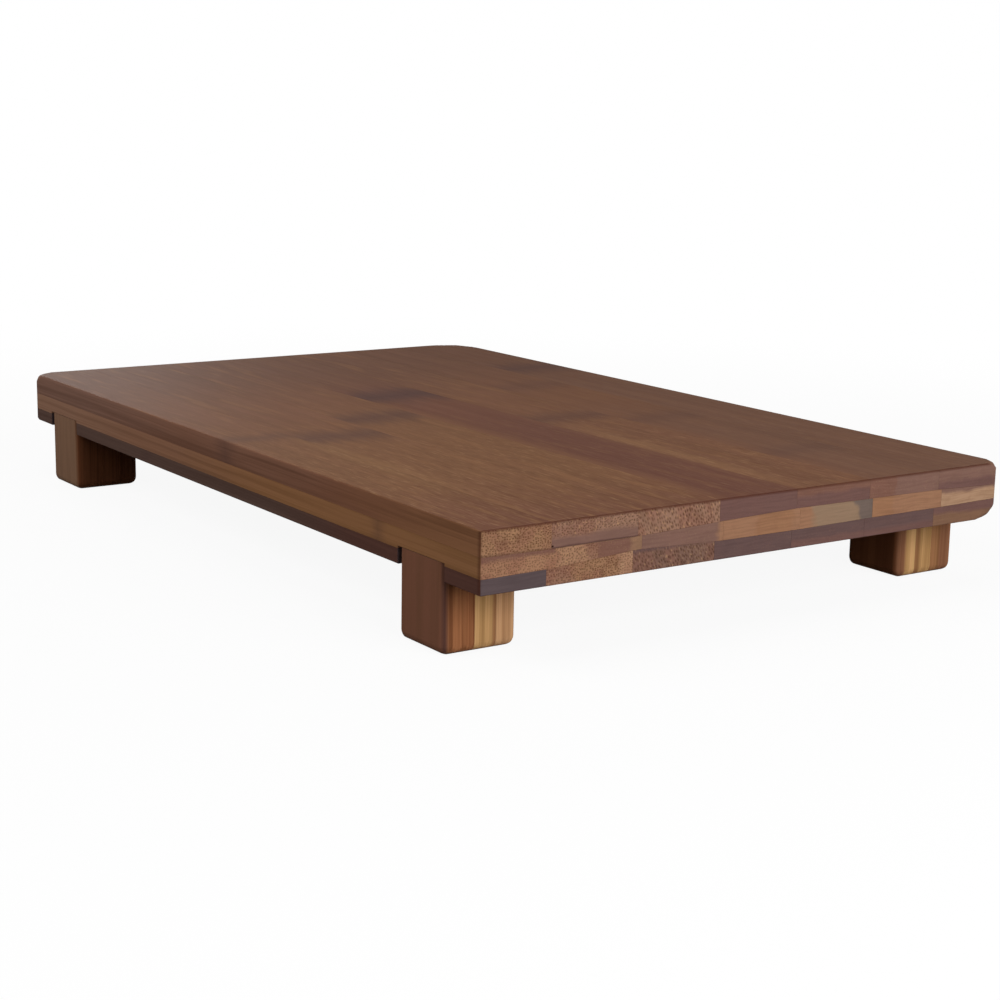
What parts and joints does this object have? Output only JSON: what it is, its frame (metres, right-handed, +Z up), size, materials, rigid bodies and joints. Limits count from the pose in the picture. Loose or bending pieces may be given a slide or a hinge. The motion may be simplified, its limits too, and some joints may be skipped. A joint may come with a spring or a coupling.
{
  "type": "serving board",
  "caption": "Footed rectangular serving board in dark laminated bamboo, edge-glued staves in plies, with square laminated feet let into the underside near the corners.",
  "frame": {"origin": "centre of the board's outline, on the surface that the feet stand on", "axes": "+Y along the board's length, +X across it, +Z up through the serving face"},
  "size_m": [0.2, 0.32, 0.0395],
  "materials": {
    "bamboo_smoke": "oiled satin, heavily carbonised bamboo",
    "bamboo_umber": "oiled satin, dark carbonised bamboo",
    "bamboo_russet": "oiled satin, reddish carbonised bamboo",
    "bamboo_tan": "oiled satin, lightly carbonised bamboo",
    "bamboo_gold": "oiled satin, golden carbonised bamboo",
    "bamboo_pale": "raw pale bamboo dowel"
  },
  "bodies": {
    "root": {"top_stave_1": "bamboo_russet", "top_stave_2": "bamboo_tan", "top_stave_3": "bamboo_tan", "top_stave_4": "bamboo_umber", "top_stave_5": "bamboo_umber", "top_stave_6": "bamboo_russet", "top_stave_7": "bamboo_umber", "core_stave_1": "bamboo_gold", "core_stave_2": "bamboo_tan", "core_stave_3": "bamboo_umber", "core_stave_4": "bamboo_gold", "core_stave_5": "bamboo_tan", "core_stave_6": "bamboo_gold", "core_stave_7": "bamboo_tan", "base_stave_1_front": "bamboo_smoke", "base_stave_1_middle": "bamboo_smoke", "base_stave_1_back": "bamboo_smoke", "base_stave_2": "bamboo_russet", "base_stave_3": "bamboo_russet", "base_stave_4": "bamboo_smoke", "base_stave_5": "bamboo_smoke", "base_stave_6": "bamboo_smoke", "base_stave_7": "bamboo_smoke", "foot_front_left_outer": "bamboo_russet", "foot_front_left_middle": "bamboo_gold", "foot_front_left_inner": "bamboo_tan", "foot_front_right_outer": "bamboo_russet", "foot_front_right_middle": "bamboo_gold", "foot_front_right_inner": "bamboo_tan", "foot_back_left_outer": "bamboo_russet", "foot_back_left_middle": "bamboo_gold", "foot_back_left_inner": "bamboo_tan", "foot_back_right_outer": "bamboo_russet", "foot_back_right_middle": "bamboo_gold", "foot_back_right_inner": "bamboo_tan", "dowel_front_left": "bamboo_pale", "dowel_front_right": "bamboo_pale", "dowel_back_left": "bamboo_pale", "dowel_back_right": "bamboo_pale"}
  },
  "joints": []
}
